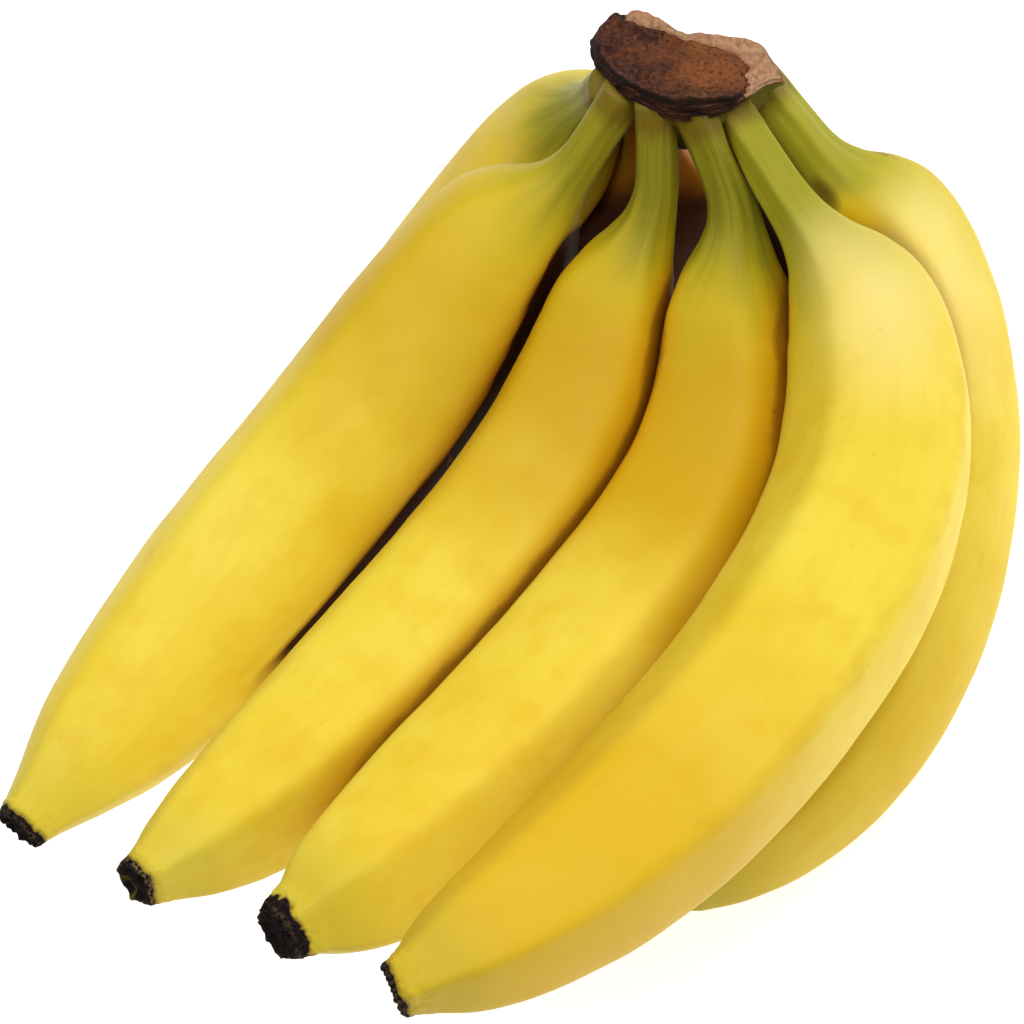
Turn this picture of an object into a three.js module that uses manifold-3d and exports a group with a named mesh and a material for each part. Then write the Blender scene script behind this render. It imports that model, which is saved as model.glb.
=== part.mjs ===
// A hand of eight bananas on one cut crown, lying on the backs of its four rear fingers.
// Millimetres, +Z up. The shape is set out in the hanging frame (x across the crown, y up, z out of the
// front row of fingers) and then laid down: turned about z, tipped about x and moved onto the ground.
import * as THREE from 'three';
import Module from 'manifold-3d';

const rad = THREE.MathUtils.degToRad;

// ---- the fingers -------------------------------------------------------------------------------
// root: where the neck leaves the crown; leaves and ends: the axis direction at the crown and at the tip,
// as degrees clockwise from +x in the x-y plane, then degrees toward +z; bend: share of the turn made
// by the shoulder; shoulder: how far the body stands off the neck's line, and to which side; neck: its
// thickness against PROFILE; flare: how much nearer the crown the shoulder starts; taper: how much nearer
// it the narrowing to the blossom end starts; edges: how marked the lengthwise ridges are;
// faces: its flats, where they aren't the usual FACES.
const FINGERS = [
  { name: 'finger_front_1', root: [-12.5, -0.2, 2.6], leaves: [123.4, -35.1], ends: [132.6, 31.1], length: 197, girth: 40.9, bend: 0.15, shoulder: [3.5, 86.3], twist: -12, neck: 0.7, flare: -0.013, taper: 0.006, edges: 0.27, faces: [-1, 98, 174, 251] },
  { name: 'finger_front_2', root: [-7, -2.6, 7.4], leaves: [87, -26], ends: [147.7, 33], length: 199, girth: 37.7, bend: 0.45, shoulder: [6.2, 120.3], twist: -24, neck: 0.74, flare: -0.02, taper: -0.008, edges: 1 },
  { name: 'finger_front_3', root: [0.3, -3.9, 8.1], leaves: [64.3, -20.4], ends: [151.7, 33.3], length: 208, girth: 40.9, bend: 0.54, shoulder: [7.5, 133.6], twist: -25, neck: 0.75, flare: -0.014, taper: -0.027, edges: 1 },
  { name: 'finger_front_4', root: [6.2, -3.2, 4.3], leaves: [53.9, 2.9], ends: [156.1, 26.2], length: 230, girth: 38.9, bend: 0.43, shoulder: [5.4, 22.1], twist: -8, neck: 0.81, flare: -0.012, taper: -0.016, edges: 1 },
  { name: 'finger_back_1', root: [-14.8, 0.9, -3.2], leaves: [152.3, -70.2], ends: [120, 15], length: 189, girth: 35.6, bend: 0.13, shoulder: [8.2, -40.6], twist: 0, neck: 0.9, flare: 0.03, taper: 0, edges: 0.3 },
  { name: 'finger_back_2', root: [-7, 3, -6], leaves: [78, -64], ends: [143, 28.7], length: 192, girth: 36, bend: 0.25, shoulder: [5, 0], twist: 8, neck: 0.9, flare: 0, taper: 0, edges: 1 },
  { name: 'finger_back_3', root: [5, 3, -4], leaves: [61, -23.8], ends: [143, 14], length: 184, girth: 36, bend: 0, shoulder: [0, 0], twist: -10, neck: 0.9, flare: 0, taper: 0, edges: 1 },
  { name: 'finger_back_4', root: [12, 1.8, -1.7], leaves: [43.4, -13.4], ends: [151.7, 13.4], length: 191, girth: 38.8, bend: -0.02, shoulder: [4.8, 16.2], twist: 19, neck: 0.89, flare: -0.003, taper: 0, edges: 0.7 },
];

// radius of a full-girth (38 mm) finger at shares of its length: neck, shoulder, body, taper, blossom end
const PROFILE = [[0, 6.0], [0.05, 5.5], [0.10, 6.0], [0.13, 7.8], [0.155, 11.2], [0.185, 14.4], [0.24, 17.0], [0.34, 18.6], [0.48, 19.0],
  [0.64, 18.5], [0.78, 16.5], [0.88, 12.8], [0.935, 9.5], [0.967, 7.0], [0.985, 5.7], [1, 4.9]];
const FACES = [0, 68, 140, 214, 292];          // the five soft flats of the cross-section, degrees from the inner curve
const GAP = 0.5;                               // skin to skin where two fingers press together
const APART = 1.4;                             // the first two front fingers stand a little apart

// laying down
const ROLL = -49, TIP_BACK = 32;
const CROWN_AT = [88.3, 24.6, 83];

const RINGS = [0, 0.03, 0.06, 0.085, 0.105, 0.12, 0.135, 0.15, 0.165, 0.18, 0.2, 0.22, 0.245, 0.275, 0.31, 0.35, 0.39, 0.43, 0.47, 0.51,
  0.55, 0.59, 0.63, 0.67, 0.71, 0.75, 0.785, 0.82, 0.85, 0.875, 0.9, 0.92, 0.937, 0.952, 0.965, 0.976, 0.988, 1];
const SIDES = 20;

const add = (a, b) => [a[0] + b[0], a[1] + b[1], a[2] + b[2]];
const sub = (a, b) => [a[0] - b[0], a[1] - b[1], a[2] - b[2]];
const mul = (a, k) => [a[0] * k, a[1] * k, a[2] * k];
const dot = (a, b) => a[0] * b[0] + a[1] * b[1] + a[2] * b[2];
const cross = (a, b) => [a[1] * b[2] - a[2] * b[1], a[2] * b[0] - a[0] * b[2], a[0] * b[1] - a[1] * b[0]];
const len = (a) => Math.hypot(a[0], a[1], a[2]);
const unit = (a) => mul(a, 1 / len(a));
const clamp01 = (t) => Math.min(1, Math.max(0, t));
const smooth = (a, b, s) => { const t = clamp01((s - a) / (b - a)); return t * t * (3 - 2 * t); };

function heading([turn, rise]) {
  const a = rad(turn), e = rad(rise);
  return [Math.cos(a) * Math.cos(e), -Math.sin(a) * Math.cos(e), Math.sin(e)];
}

// monotone cubic through hand-set points
function curve(points, s) {
  const n = points.length, h = [], d = [], m = new Array(n).fill(0);
  for (let i = 0; i < n - 1; i++) {
    h.push(points[i + 1][0] - points[i][0]);
    d.push((points[i + 1][1] - points[i][1]) / h[i]);
  }
  for (let i = 1; i < n - 1; i++) {
    if (d[i - 1] * d[i] > 0) {
      const w1 = 2 * h[i] + h[i - 1], w2 = h[i] + 2 * h[i - 1];
      m[i] = (w1 + w2) / (w1 / d[i - 1] + w2 / d[i]);
    }
  }
  m[0] = d[0]; m[n - 1] = d[n - 2];
  let i = 0;
  while (i < n - 2 && s >= points[i + 1][0]) i++;
  const t = (s - points[i][0]) / h[i];
  return (2 * t ** 3 - 3 * t ** 2 + 1) * points[i][1] + (t ** 3 - 2 * t ** 2 + t) * h[i] * m[i]
    + (-2 * t ** 3 + 3 * t ** 2) * points[i + 1][1] + (t ** 3 - t ** 2) * h[i] * m[i + 1];
}

const turned = (s, bend) => bend * smooth(0.1, 0.5, s) + (1 - bend) * s;

// the axis as 401 points with tangents and the direction of the inner (concave) side
function axisOf(f) {
  const from = heading(f.leaves), to = heading(f.ends);
  const angle = Math.acos(dot(from, to)), steps = 400;
  const t = [];
  for (let i = 0; i <= steps; i++) {
    const w = turned(i / steps, f.bend);
    t.push(mul(add(mul(from, Math.sin((1 - w) * angle)), mul(to, Math.sin(w * angle))), 1 / Math.sin(angle)));
  }
  const side = unit(cross(from, to)), inner = cross(side, from);
  const stand = add(mul(inner, -f.shoulder[0] * Math.cos(rad(f.shoulder[1]))), mul(side, f.shoulder[0] * Math.sin(rad(f.shoulder[1]))));
  const p = [];
  let at = f.root.slice();
  for (let i = 0; i <= steps; i++) {
    if (i) at = add(at, mul(add(t[i], t[i - 1]), 0.5 * f.length / steps));
    p.push(add(at, mul(stand, smooth(0.08, 0.23, i / steps))));
  }
  const frames = p.map((q, i) => {
    const along = unit(sub(p[Math.min(steps, i + 1)], p[Math.max(0, i - 1)]));
    const n = unit(cross(side, along));
    return { p: q, t: along, n, b: cross(along, n) };
  });
  const at_ = (s) => {
    const k = Math.min(steps - 1, Math.floor(s * steps)), w = s * steps - k, a = frames[k], b = frames[k + 1];
    const mix = (u, v) => add(mul(u, 1 - w), mul(v, w));
    return { p: mix(a.p, b.p), t: unit(mix(a.t, b.t)), n: unit(mix(a.n, b.n)), b: unit(mix(a.b, b.b)) };
  };
  return at_;
}

function radiusOf(f, s) {
  const at = s + f.flare * smooth(0.05, 0.13, s) * (1 - smooth(0.16, 0.45, s))
    + f.taper * smooth(0.6, 0.85, s) * (1 - smooth(0.93, 1, s));
  const slim = f.neck + (1 - f.neck) * smooth(0.08, 0.17, s);
  return curve(PROFILE, clamp01(at)) * slim * f.girth / 38;
}

function section(phi, f, s) {
  let g = 0;
  for (const a of f.faces ?? FACES) g += Math.max(0, Math.cos(phi - rad(a + f.twist))) ** 14;
  const k = 0.74 + 0.12 * smooth(0.5, 1, Math.abs(2 * s - 1));
  return 1 + (g ** (-1 / 14) / 1.1 - 1) * k * f.edges;
}

// laid down on the ground
function lay(v) {
  const a = rad(ROLL), b = rad(TIP_BACK);
  const x = v[0] * Math.cos(a) - v[1] * Math.sin(a), y = v[0] * Math.sin(a) + v[1] * Math.cos(a);
  return [x + CROWN_AT[0], y * Math.cos(b) - v[2] * Math.sin(b) + CROWN_AT[1], y * Math.sin(b) + v[2] * Math.cos(b) + CROWN_AT[2]];
}

const models = FINGERS.map((f) => {
  const at = axisOf(f), samples = [];
  for (let i = 0; i <= 120; i++) samples.push({ p: at(i / 120).p, r: radiusOf(f, i / 120) });
  return { f, at, samples };
});

// how far finger i's skin reaches along a ray from its own axis before the neighbours stop it
function reach(i, s, phi) {
  const { f, at } = models[i], a = at(s), own = radiusOf(f, s);
  const ray = add(mul(a.n, Math.cos(phi)), mul(a.b, Math.sin(phi)));
  const free = own * section(phi, f, s);
  let limit = free;
  for (let j = 0; j < models.length; j++) {
    if (j === i) continue;
    const near = models[j].samples.filter((q) => len(sub(q.p, a.p)) < own * 1.6 + q.r + 2);
    if (!near.length) continue;
    const gap = i + j === 1 ? APART : GAP;
    const inside = (rho) => {
      const v = add(a.p, mul(ray, rho));
      let share = Infinity;
      for (const q of near) share = Math.min(share, (len(sub(v, q.p)) - gap) / q.r);
      return rho / own > share;
    };
    if (!inside(free * 1.6)) continue;
    let lo = 0, hi = free * 1.6;
    for (let k = 0; k < 12; k++) { const mid = (lo + hi) / 2; if (inside(mid)) hi = mid; else lo = mid; }
    if (lo > free * 1.55) continue;
    const soft = 2 * Math.min(1, own / 12), h = clamp01(0.5 + 0.5 * (lo - limit) / soft);
    limit = lo * (1 - h) + limit * h - soft * h * (1 - h);
  }
  return add(a.p, mul(ray, Math.max(limit, 0.3 * free)));
}

function indexed(points, faces) {
  const g = new THREE.BufferGeometry();
  g.setAttribute('position', new THREE.Float32BufferAttribute(points.flat(), 3));
  g.setIndex(faces.flat());
  return g;
}

// rings of points closed by a fan at each end
function lofted(rings, first, last) {
  const n = rings[0].length, points = rings.flat(), faces = [];
  for (let i = 0; i < rings.length - 1; i++) {
    for (let j = 0; j < n; j++) {
      const a = i * n + j, b = i * n + (j + 1) % n, c = a + n, d = b + n;
      if ((i + j) % 2) faces.push([a, b, c], [b, d, c]); else faces.push([a, b, d], [a, d, c]);
    }
  }
  const lo = points.length, hi = lo + 1, end = (rings.length - 1) * n;
  points.push(first, last);
  for (let j = 0; j < n; j++) {
    faces.push([lo, (j + 1) % n, j], [hi, end + j, end + (j + 1) % n]);
  }
  return indexed(points, faces);
}

function fingerGeometry(i) {
  const { f, at } = models[i];
  const rings = RINGS.map((s) => Array.from({ length: SIDES }, (_, j) => reach(i, s, 2 * Math.PI * j / SIDES)));
  const a = at(0), z = at(1);
  const down = (v) => { const w = lay(v); return [w[0], w[1], Math.max(0, w[2])]; };
  return lofted(rings.map((r) => r.map(down)), down(a.p), down(add(z.p, mul(z.t, 0.8))));
}

// ---- the crown ---------------------------------------------------------------------------------
// the cut face leans back by CUT_LEAN; its outline is in that plane, u across and v up the slope
const CUT_LEAN = 38;
const CUT = [[17.5, -4.8], [16.6, -1.8], [15.7, 1.4], [14.3, 5.2], [12.3, 8.2], [9.3, 9.3], [6, 9.9], [2.7, 10.1], [-0.4, 10.8],
  [-3.1, 12.8], [-5.5, 15.5], [-7.6, 17.6], [-10, 18.3], [-12.6, 18.5], [-14.4, 18.1], [-16.3, 15.5], [-17.9, 12.4], [-19, 9.3],
  [-18.7, 6.2], [-17.3, 1.8], [-15.4, -2.6], [-12.8, -6.7], [-9.5, -9.9], [-6.2, -12.5], [-2.8, -13.9], [0.8, -13.8], [4.2, -13.3],
  [7.4, -12.5], [10.3, -10.4], [12.8, -7.9], [15.3, -6]];
// levels down from the cut face: height above the crown's origin and share of the outline
const LEVELS = [[6.6, 0.96], [6.1, 1.0], [4.6, 1.01], [2.8, 1.0], [0.6, 0.9], [-2.2, 0.78], [-4.8, 0.62]];

function crownPoint(u, v, h) {
  const a = rad(CUT_LEAN);
  const c = h > 0 ? 6.1 - (6.1 - h) * (1 - 0.45 * smooth(2, 12, u)) : h;      // thinner towards its right end
  return [u, c * Math.cos(a) + v * Math.sin(a), c * Math.sin(a) - v * Math.cos(a)];
}

function crownGeometry() {
  const spline = new THREE.CatmullRomCurve3(CUT.map(([u, v]) => new THREE.Vector3(u, v, 0)), true, 'centripetal');
  const outline = spline.getSpacedPoints(34).slice(0, 34).map((p) => [p.x, p.y]);
  const mid = [-1, 0.5];
  const rings = LEVELS.slice().reverse().map(([c, k]) => outline.map(([u, v]) =>
    lay(crownPoint(mid[0] + (u - mid[0]) * k, mid[1] + (v - mid[1]) * k, c))));
  return lofted(rings, lay(crownPoint(mid[0], mid[1], -5.8)), lay(crownPoint(mid[0], mid[1], 6.2)));
}

// ---- assembly ----------------------------------------------------------------------------------
const wasm = await Module();
wasm.setup();

function manifold(g) {
  return new wasm.Manifold(new wasm.Mesh({
    numProp: 3,
    vertProperties: new Float32Array(g.attributes.position.array),
    triVerts: new Uint32Array(g.index.array),
  }));
}

function geometry(m) {
  const out = m.getMesh(), points = [], faces = [];
  for (let i = 0; i < out.vertProperties.length; i += out.numProp) points.push(Array.from(out.vertProperties.slice(i, i + 3)));
  for (let i = 0; i < out.triVerts.length; i += 3) faces.push(Array.from(out.triVerts.slice(i, i + 3)));
  return indexed(points, faces);
}

// the pocket a neck sits in: the neck grown by the clearance, and closed above its root
function pocket(i) {
  const { at } = models[i];
  const stations = RINGS.filter((s) => s < 0.17), end = at(stations[stations.length - 1]).p;
  const rings = stations.map((s) => Array.from({ length: SIDES }, (_, j) => {
    const a = at(s), v = reach(i, s, 2 * Math.PI * j / SIDES);
    return lay(add(v, mul(unit(sub(v, a.p)), 0.5)));
  }));
  const a = at(0), back = mul(a.t, -0.5);
  const cap = rings[0].map((_, j) => {
    const v = reach(i, 0, 2 * Math.PI * j / SIDES);
    return lay(add(add(v, mul(unit(sub(v, a.p)), 0.5)), back));
  });
  return lofted([cap, ...rings], lay(add(a.p, back)), lay(end));
}

let crown = manifold(crownGeometry());
FINGERS.forEach((f, i) => { crown = crown.subtract(manifold(pocket(i))); });
const bodies = crown.decompose().sort((a, b) => b.volume() - a.volume());

const root = new THREE.Group();
root.name = 'banana_bunch';

function put(name, g, color) {
  const mesh = new THREE.Mesh(g, new THREE.MeshStandardMaterial({ color, roughness: 0.6, metalness: 0 }));
  mesh.name = name;
  mesh.material.name = name.startsWith('crown') ? 'crown_tissue' : 'banana_skin';
  root.add(mesh);
}

put('crown', geometry(bodies[0]), 0x6b4226);
FINGERS.forEach((f, i) => put(f.name, fingerGeometry(i), 0xe6c030));

export default root;
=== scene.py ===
# A hand of eight bananas on one cut crown, lying down. Metres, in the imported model's frame.
# The fingers are laid out in a hanging frame, in millimetres: the crown at the origin, the fingers hanging
# towards -Y and the front of the hand towards +Z. lay() turns that into the model's frame.
import bpy, math
import numpy as np
from mathutils import Matrix, Vector, noise


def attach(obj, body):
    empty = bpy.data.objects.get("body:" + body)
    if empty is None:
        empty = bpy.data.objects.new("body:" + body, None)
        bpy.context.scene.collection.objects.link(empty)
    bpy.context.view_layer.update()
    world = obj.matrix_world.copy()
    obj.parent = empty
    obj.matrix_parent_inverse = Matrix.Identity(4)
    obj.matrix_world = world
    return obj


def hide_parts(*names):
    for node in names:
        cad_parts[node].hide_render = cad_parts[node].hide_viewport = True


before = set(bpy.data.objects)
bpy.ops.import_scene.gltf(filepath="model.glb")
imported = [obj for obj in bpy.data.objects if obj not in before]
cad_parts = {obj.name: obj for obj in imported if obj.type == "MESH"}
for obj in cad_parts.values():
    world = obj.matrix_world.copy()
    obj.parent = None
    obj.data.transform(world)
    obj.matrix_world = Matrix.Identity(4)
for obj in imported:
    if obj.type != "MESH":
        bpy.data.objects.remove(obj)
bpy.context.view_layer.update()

rad = math.radians

# ------------------------------------------------------------------------------------------------
# shape: the same values as the solids, in millimetres in the hanging frame, then laid down
# ------------------------------------------------------------------------------------------------
# root: where the neck leaves the crown; leaves, ends: the way it points there and at the tip (turn, rise);
# bend: 0 for an even curve, 1 for a curve kept to its first half; shoulder: how far the body steps aside after
# the neck, mm, and which way; twist: turn of the five soft faces; neck: its thickness against the profile's;
# flare, taper: the profile moved along near the shoulder and the tip; edges: how marked the faces are
FINGERS = [
    dict(name="finger_front_1", root=(-12.5, -0.2, 2.6), leaves=(123.4, -35.1), ends=(132.6, 31.1), length=197,
         girth=40.9, bend=0.15, shoulder=(3.5, 86.3), twist=-12, neck=0.7, flare=-0.013, taper=0.006, edges=0.27,
         faces=(-1, 98, 174, 251)),
    dict(name="finger_front_2", root=(-7, -2.6, 7.4), leaves=(87, -26), ends=(147.7, 33), length=199,
         girth=37.7, bend=0.45, shoulder=(6.2, 120.3), twist=-24, neck=0.74, flare=-0.02, taper=-0.008, edges=1),
    dict(name="finger_front_3", root=(0.3, -3.9, 8.1), leaves=(64.3, -20.4), ends=(151.7, 33.3), length=208,
         girth=40.9, bend=0.54, shoulder=(7.5, 133.6), twist=-25, neck=0.75, flare=-0.014, taper=-0.027, edges=1),
    dict(name="finger_front_4", root=(6.2, -3.2, 4.3), leaves=(53.9, 2.9), ends=(156.1, 26.2), length=230,
         girth=38.9, bend=0.43, shoulder=(5.4, 22.1), twist=-8, neck=0.81, flare=-0.012, taper=-0.016, edges=1),
    dict(name="finger_back_1", root=(-14.8, 0.9, -3.2), leaves=(152.3, -70.2), ends=(120, 15), length=189,
         girth=35.6, bend=0.13, shoulder=(8.2, -40.6), twist=0, neck=0.9, flare=0.03, taper=0, edges=0.3),
    dict(name="finger_back_2", root=(-7, 3, -6), leaves=(78, -64), ends=(143, 28.7), length=192, girth=36,
         bend=0.25, shoulder=(5, 0), twist=8, neck=0.9, flare=0, taper=0, edges=1),
    dict(name="finger_back_3", root=(5, 3, -4), leaves=(61, -23.8), ends=(143, 14), length=184, girth=36,
         bend=0, shoulder=(0, 0), twist=-10, neck=0.9, flare=0, taper=0, edges=1),
    dict(name="finger_back_4", root=(12, 1.8, -1.7), leaves=(43.4, -13.4), ends=(151.7, 13.4), length=191,
         girth=38.8, bend=-0.02, shoulder=(4.8, 16.2), twist=19, neck=0.89, flare=-0.003, taper=0, edges=0.7),
]
PROFILE = [  # place along the finger, radius of a 38 mm finger
    (0, 6.0), (0.05, 5.5), (0.10, 6.0), (0.13, 7.8), (0.155, 11.2), (0.185, 14.4), (0.24, 17.0), (0.34, 18.6),
    (0.48, 19.0), (0.64, 18.5), (0.78, 16.5), (0.88, 12.8), (0.935, 9.5), (0.967, 7.0), (0.985, 5.7), (1, 4.9)]
PROFILE_GIRTH = 38
FACES = (0, 68, 140, 214, 292)      # the way each soft face looks, degrees round the finger
FACE_POWER = 14                     # how square the section is before it is softened
FACE_MEAN = 1.1                     # radius of that section, on average
GAP = 0.5                           # between neighbouring fingers, mm
APART = 1.4                         # the first two front fingers stand a little apart
ROLL, TIP_BACK = -49, 32            # how the hanging hand is laid down, degrees
CROWN_AT = (88.3, 24.6, 83.0)       # where its crown then is, mm

LAY = np.array(Matrix.Rotation(rad(TIP_BACK), 3, "X") @ Matrix.Rotation(rad(ROLL), 3, "Z"))


def lay(v):
    """Hanging frame, mm, to the model's frame, metres, pressed flat where it meets the ground."""
    w = np.asarray(v, float) @ LAY.T + np.array(CROWN_AT)
    w[..., 2] = np.maximum(w[..., 2], 0.0)
    return w * 0.001


def heading(turn, rise):
    """A unit vector, from its turn below +X in the plane of the hand and its rise towards the front."""
    a, e = rad(turn), rad(rise)
    return np.array([math.cos(a) * math.cos(e), -math.sin(a) * math.cos(e), math.sin(e)])


def curve(pts, s):
    """Monotone cubic through given points."""
    x = np.array([p[0] for p in pts], float)
    y = np.array([p[1] for p in pts], float)
    h = np.diff(x)
    d = np.diff(y) / h
    m = np.zeros_like(y)
    for i in range(1, len(x) - 1):
        if d[i - 1] * d[i] > 0:
            w1, w2 = 2 * h[i] + h[i - 1], h[i] + 2 * h[i - 1]
            m[i] = (w1 + w2) / (w1 / d[i - 1] + w2 / d[i])
    m[0], m[-1] = d[0], d[-1]
    i = np.clip(np.searchsorted(x, s, side="right") - 1, 0, len(h) - 1)
    t = (s - x[i]) / h[i]
    return ((2 * t**3 - 3 * t**2 + 1) * y[i] + (t**3 - 2 * t**2 + t) * h[i] * m[i]
            + (-2 * t**3 + 3 * t**2) * y[i + 1] + (t**3 - t**2) * h[i] * m[i + 1])


def smooth(a, b, s):
    """0 up to a, 1 from b, with a soft step between; a may be the larger."""
    t = np.clip((s - a) / (b - a), 0, 1)
    return t * t * (3 - 2 * t)


STEPS = 400          # along an axis, to add up its course


def axis(f, s):
    """Points on the axis, with tangent, direction of the inner curve and the third direction."""
    d0, d1 = heading(*f["leaves"]), heading(*f["ends"])
    ang = math.acos(d0 @ d1)
    fine = np.linspace(0, 1, STEPS + 1)
    w = f["bend"] * smooth(0.1, 0.5, fine) + (1 - f["bend"]) * fine
    t = (np.sin((1 - w) * ang)[:, None] * d0 + np.sin(w * ang)[:, None] * d1) / math.sin(ang)
    p = np.vstack([np.zeros(3), np.cumsum((t[1:] + t[:-1]) / 2, axis=0) / STEPS])
    p = p * f["length"] + np.array(f["root"], float)
    side = np.cross(d0, d1)
    side /= np.linalg.norm(side)
    inner = np.cross(side, d0)
    mm, turn = f["shoulder"]
    stand = -mm * math.cos(rad(turn)) * inner + mm * math.sin(rad(turn)) * side
    p = p + smooth(0.08, 0.23, fine)[:, None] * stand
    t = np.gradient(p, axis=0)
    t /= np.linalg.norm(t, axis=1)[:, None]
    n = np.cross(side, t)
    n /= np.linalg.norm(n, axis=1)[:, None]
    b = np.cross(t, n)
    at = lambda q: np.stack([np.interp(s, fine, q[:, k]) for k in range(3)], 1)
    return at(p), at(t), at(n), at(b)


def girth_at(f, s):
    """Radius of finger f at s, mm."""
    at = (s + f["flare"] * smooth(0.05, 0.13, s) * (1 - smooth(0.16, 0.45, s))
          + f["taper"] * smooth(0.6, 0.85, s) * (1 - smooth(0.93, 1, s)))
    slim = f["neck"] + (1 - f["neck"]) * smooth(0.08, 0.17, s)
    return curve(PROFILE, at) * slim * f["girth"] / PROFILE_GIRTH


def faceted(phi, f):
    """Radius of the finger's section before it is softened: flat faces with an edge between each two."""
    g = sum(np.maximum(0, np.cos(phi - rad(a + f["twist"])))**FACE_POWER for a in f.get("faces", FACES))
    return g**(-1 / FACE_POWER)


def section(phi, f, s):
    k = 0.74 + 0.12 * smooth(0.5, 1, np.abs(2 * s - 1))
    return 1 + (faceted(phi, f) / FACE_MEAN - 1) * k * f["edges"]


SEARCH = 1.6         # how far out, in free radii, a neighbour is looked for
HALVINGS = 13        # which find its place to under a hundredth of a millimetre


def finger_skin(i, s, sides):
    """Rings of points of finger i, each pressed against its neighbours. A point's own finger has to be nearer,
    for its thickness, than any other one, and halving finds how far out that holds."""
    f = FINGERS[i]
    phi = np.arange(sides) * 2 * math.pi / sides
    p, t, n, b = axis(f, s)
    own = girth_at(f, s)[:, None]
    free = own * section(phi[None, :], f, s[:, None])
    ray = np.cos(phi)[None, :, None] * n[:, None, :] + np.sin(phi)[None, :, None] * b[:, None, :]
    limit = free.copy()
    ss = np.linspace(0, 1, 121)
    for j, g in enumerate(FINGERS):
        if j == i:
            continue
        q = axis(g, ss)[0]
        rq = girth_at(g, ss)
        gap = APART if {f["name"], g["name"]} == {"finger_front_1", "finger_front_2"} else GAP
        qq = (q * q).sum(1)

        def inside(idx, rho):
            v = p[idx[0]] + rho[:, None] * ray[idx]
            d = np.sqrt(np.maximum((v * v).sum(1)[:, None] + qq[None] - 2 * v @ q.T, 0))
            return rho / own[idx[0], 0] > ((d - gap) / rq[None]).min(1)
        near = np.linalg.norm(p[:, None] - q[None], axis=2) < own * SEARCH + rq[None] + 2
        rows = np.nonzero(near.any(1))[0]
        if not len(rows):
            continue
        idx = np.meshgrid(rows, np.arange(sides), indexing="ij")
        idx = (idx[0].ravel(), idx[1].ravel())
        hit = inside(idx, free[idx] * SEARCH)
        idx = (idx[0][hit], idx[1][hit])
        if not len(idx[0]):
            continue
        lo, hi = np.zeros(len(idx[0])), free[idx] * SEARCH
        for _ in range(HALVINGS):
            mid = (lo + hi) / 2
            bad = inside(idx, mid)
            hi = np.where(bad, mid, hi)
            lo = np.where(bad, lo, mid)
        soft = 2 * np.minimum(1, own[idx[0], 0] / 12)
        old = limit[idx]
        h = np.clip(0.5 + 0.5 * (lo - old) / soft, 0, 1)
        new = lo * (1 - h) + old * h - soft * h * (1 - h)
        # a neighbour at the very end of the search doesn't press yet
        limit[idx] = np.where(lo > free[idx] * (SEARCH - 0.05), old, new)
    limit = np.maximum(limit, 0.3 * free)      # never pressed thinner than this share
    return p, t, ray, limit, free, phi


def mesh_object(name, verts, quads, tris=()):
    me = bpy.data.meshes.new(name)
    me.from_pydata([tuple(v) for v in verts], [], [tuple(q) for q in quads] + [tuple(t) for t in tris])
    me.polygons.foreach_set("use_smooth", [True] * len(me.polygons))
    ob = bpy.data.objects.new(name, me)
    bpy.context.scene.collection.objects.link(ob)
    return ob


def tube(rows, n, flip=False):
    """Faces of a tube of rows rings with n points each, closed to the two points that follow the rings."""
    here, there = np.arange(n), (np.arange(n) + 1) % n
    if flip:
        here, there = there, here
    ring = np.arange(rows - 1)[:, None] * n
    quads = np.stack([ring + here, ring + there, ring + there + n, ring + here + n], -1).reshape(-1, 4)
    last = (rows - 1) * n
    tris = np.vstack([np.stack([np.full(n, rows * n), there, here], 1),
                      np.stack([np.full(n, rows * n + 1), last + here, last + there], 1)])
    return quads, tris


def attribute(ob, name, values, kind="FLOAT"):
    a = ob.data.attributes.new(name, kind, "POINT")
    a.data.foreach_set("value" if kind == "FLOAT" else "vector", np.asarray(values, float).ravel())


def wobble(v, scale, seed, octaves=3):
    """Fractal noise, about -1 to 1, at points v given in mm."""
    q = np.asarray(v, float).reshape(-1, 3) * scale + seed * 17.3
    out = np.fromiter((noise.fractal(Vector(x), 1.0, 2.0, octaves) for x in q), float, len(q))
    return out.reshape(np.asarray(v).shape[:-1])


# ------------------------------------------------------------------------------------------------
# materials
# ------------------------------------------------------------------------------------------------
def lin(h):
    """A hex colour as linear RGBA."""
    c = [int(h[k:k + 2], 16) / 255 for k in (0, 2, 4)]
    return tuple(x / 12.92 if x <= 0.04045 else ((x + 0.055) / 1.055)**2.4 for x in c) + (1.0,)


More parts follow.
